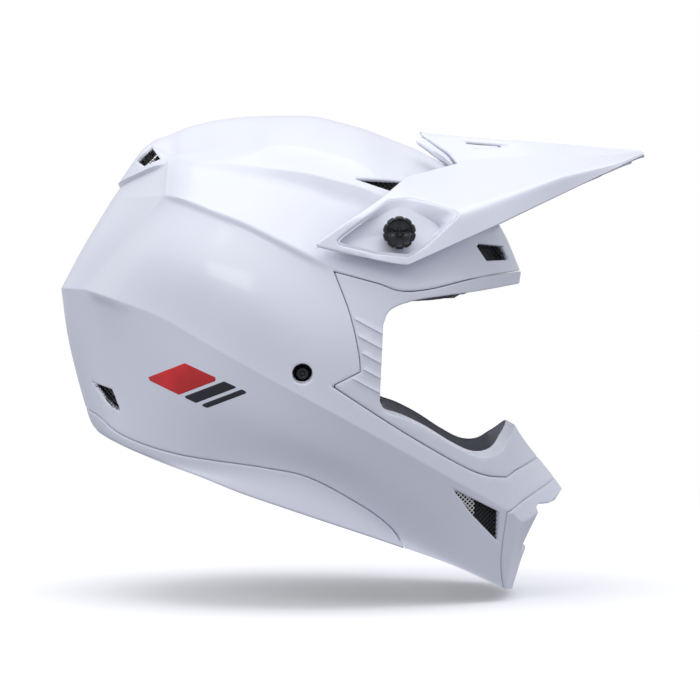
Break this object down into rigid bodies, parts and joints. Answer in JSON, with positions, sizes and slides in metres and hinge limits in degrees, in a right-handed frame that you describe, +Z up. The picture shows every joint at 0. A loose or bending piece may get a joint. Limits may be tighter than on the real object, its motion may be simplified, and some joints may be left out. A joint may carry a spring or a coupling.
{
  "type": "motocross helmet",
  "caption": "Full-face off-road helmet: hard shell with vents and trims, foam and fabric liner, D-ring chin strap, and a peaked visor that tilts on side screws.",
  "frame": {"origin": "centre of the head cavity", "axes": "+X forward, the way the wearer looks; +Y to the wearer's left; +Z up, with the helmet as it is worn"},
  "size_m": [0.351, 0.2546, 0.2862],
  "materials": {
    "gloss_white": "gloss lacquer over a moulded shell",
    "satin_white": "satin moulded",
    "black_plastic": "moulded",
    "vent_mesh": "fine moulded mesh",
    "chin_mesh": "expanded metal mesh",
    "knob_black": "moulded, knurled",
    "nut_metal": "plated",
    "rivet_black": "black painted",
    "foam": "expanded foam, fine beads",
    "liner_fabric": "brushed knit over foam",
    "strap_webbing": "woven webbing",
    "ring_steel": "polished"
  },
  "bodies": {
    "helmet": {"outer_shell": "gloss_white", "eyeport_trim": "satin_white", "rim_trim": "gloss_white", "mouth_bezel": "gloss_white", "mouth_grille": "black_plastic", "side_vent_mesh_right": "vent_mesh", "side_vent_mesh_left": "vent_mesh", "brow_vent_mesh_right": "vent_mesh", "brow_vent_mesh_left": "vent_mesh", "rear_top_vent_mesh_right": "vent_mesh", "rear_top_vent_mesh_left": "vent_mesh", "rear_low_vent_mesh_right": "vent_mesh", "rear_low_vent_mesh_left": "vent_mesh", "chin_vent_mesh_right": "chin_mesh", "chin_vent_mesh_left": "chin_mesh", "visor_nut_right": "nut_metal", "visor_nut_left": "nut_metal", "visor_top_screw": "knob_black", "visor_top_nut": "nut_metal", "impact_liner": "foam", "crown_pad": "liner_fabric", "brow_pad": "liner_fabric", "rear_pad": "liner_fabric", "cheek_pad_right": "liner_fabric", "cheek_pad_left": "liner_fabric", "chin_liner": "foam", "neck_roll": "liner_fabric", "strap_right": "strap_webbing", "strap_left": "strap_webbing", "strap_rivet_right": "rivet_black", "strap_rivet_left": "rivet_black"},
    "visor": {"visor": "gloss_white"},
    "visor_screw_right": {"visor_screw_right": "knob_black"},
    "visor_screw_left": {"visor_screw_left": "knob_black"},
    "d_ring_upper": {"d_ring_upper": "ring_steel"},
    "d_ring_lower": {"d_ring_lower": "ring_steel"}
  },
  "joints": [
    {"name": "visor_tilt", "type": "hinge", "parent": "helmet", "child": "visor", "pos_m": [0.061, 0, 0.038], "axis": [0, -1, 0], "range_deg": [-4, 4]},
    {"name": "visor_screw_right_turn", "type": "hinge", "parent": "helmet", "child": "visor_screw_right", "pos_m": [0.061, -0.1116, 0.038], "axis": [0, -1, 0], "continuous": true},
    {"name": "visor_screw_left_turn", "type": "hinge", "parent": "helmet", "child": "visor_screw_left", "pos_m": [0.061, 0.1116, 0.038], "axis": [0, 1, 0], "continuous": true},
    {"name": "d_ring_upper_swing", "type": "hinge", "parent": "helmet", "child": "d_ring_upper", "pos_m": [0.006, -0.022, -0.1162], "axis": [1, 0, 0], "range_deg": [0, 25]},
    {"name": "d_ring_lower_swing", "type": "hinge", "parent": "helmet", "child": "d_ring_lower", "pos_m": [0.006, -0.022, -0.1198], "axis": [1, 0, 0], "range_deg": [-25, 0]}
  ]
}
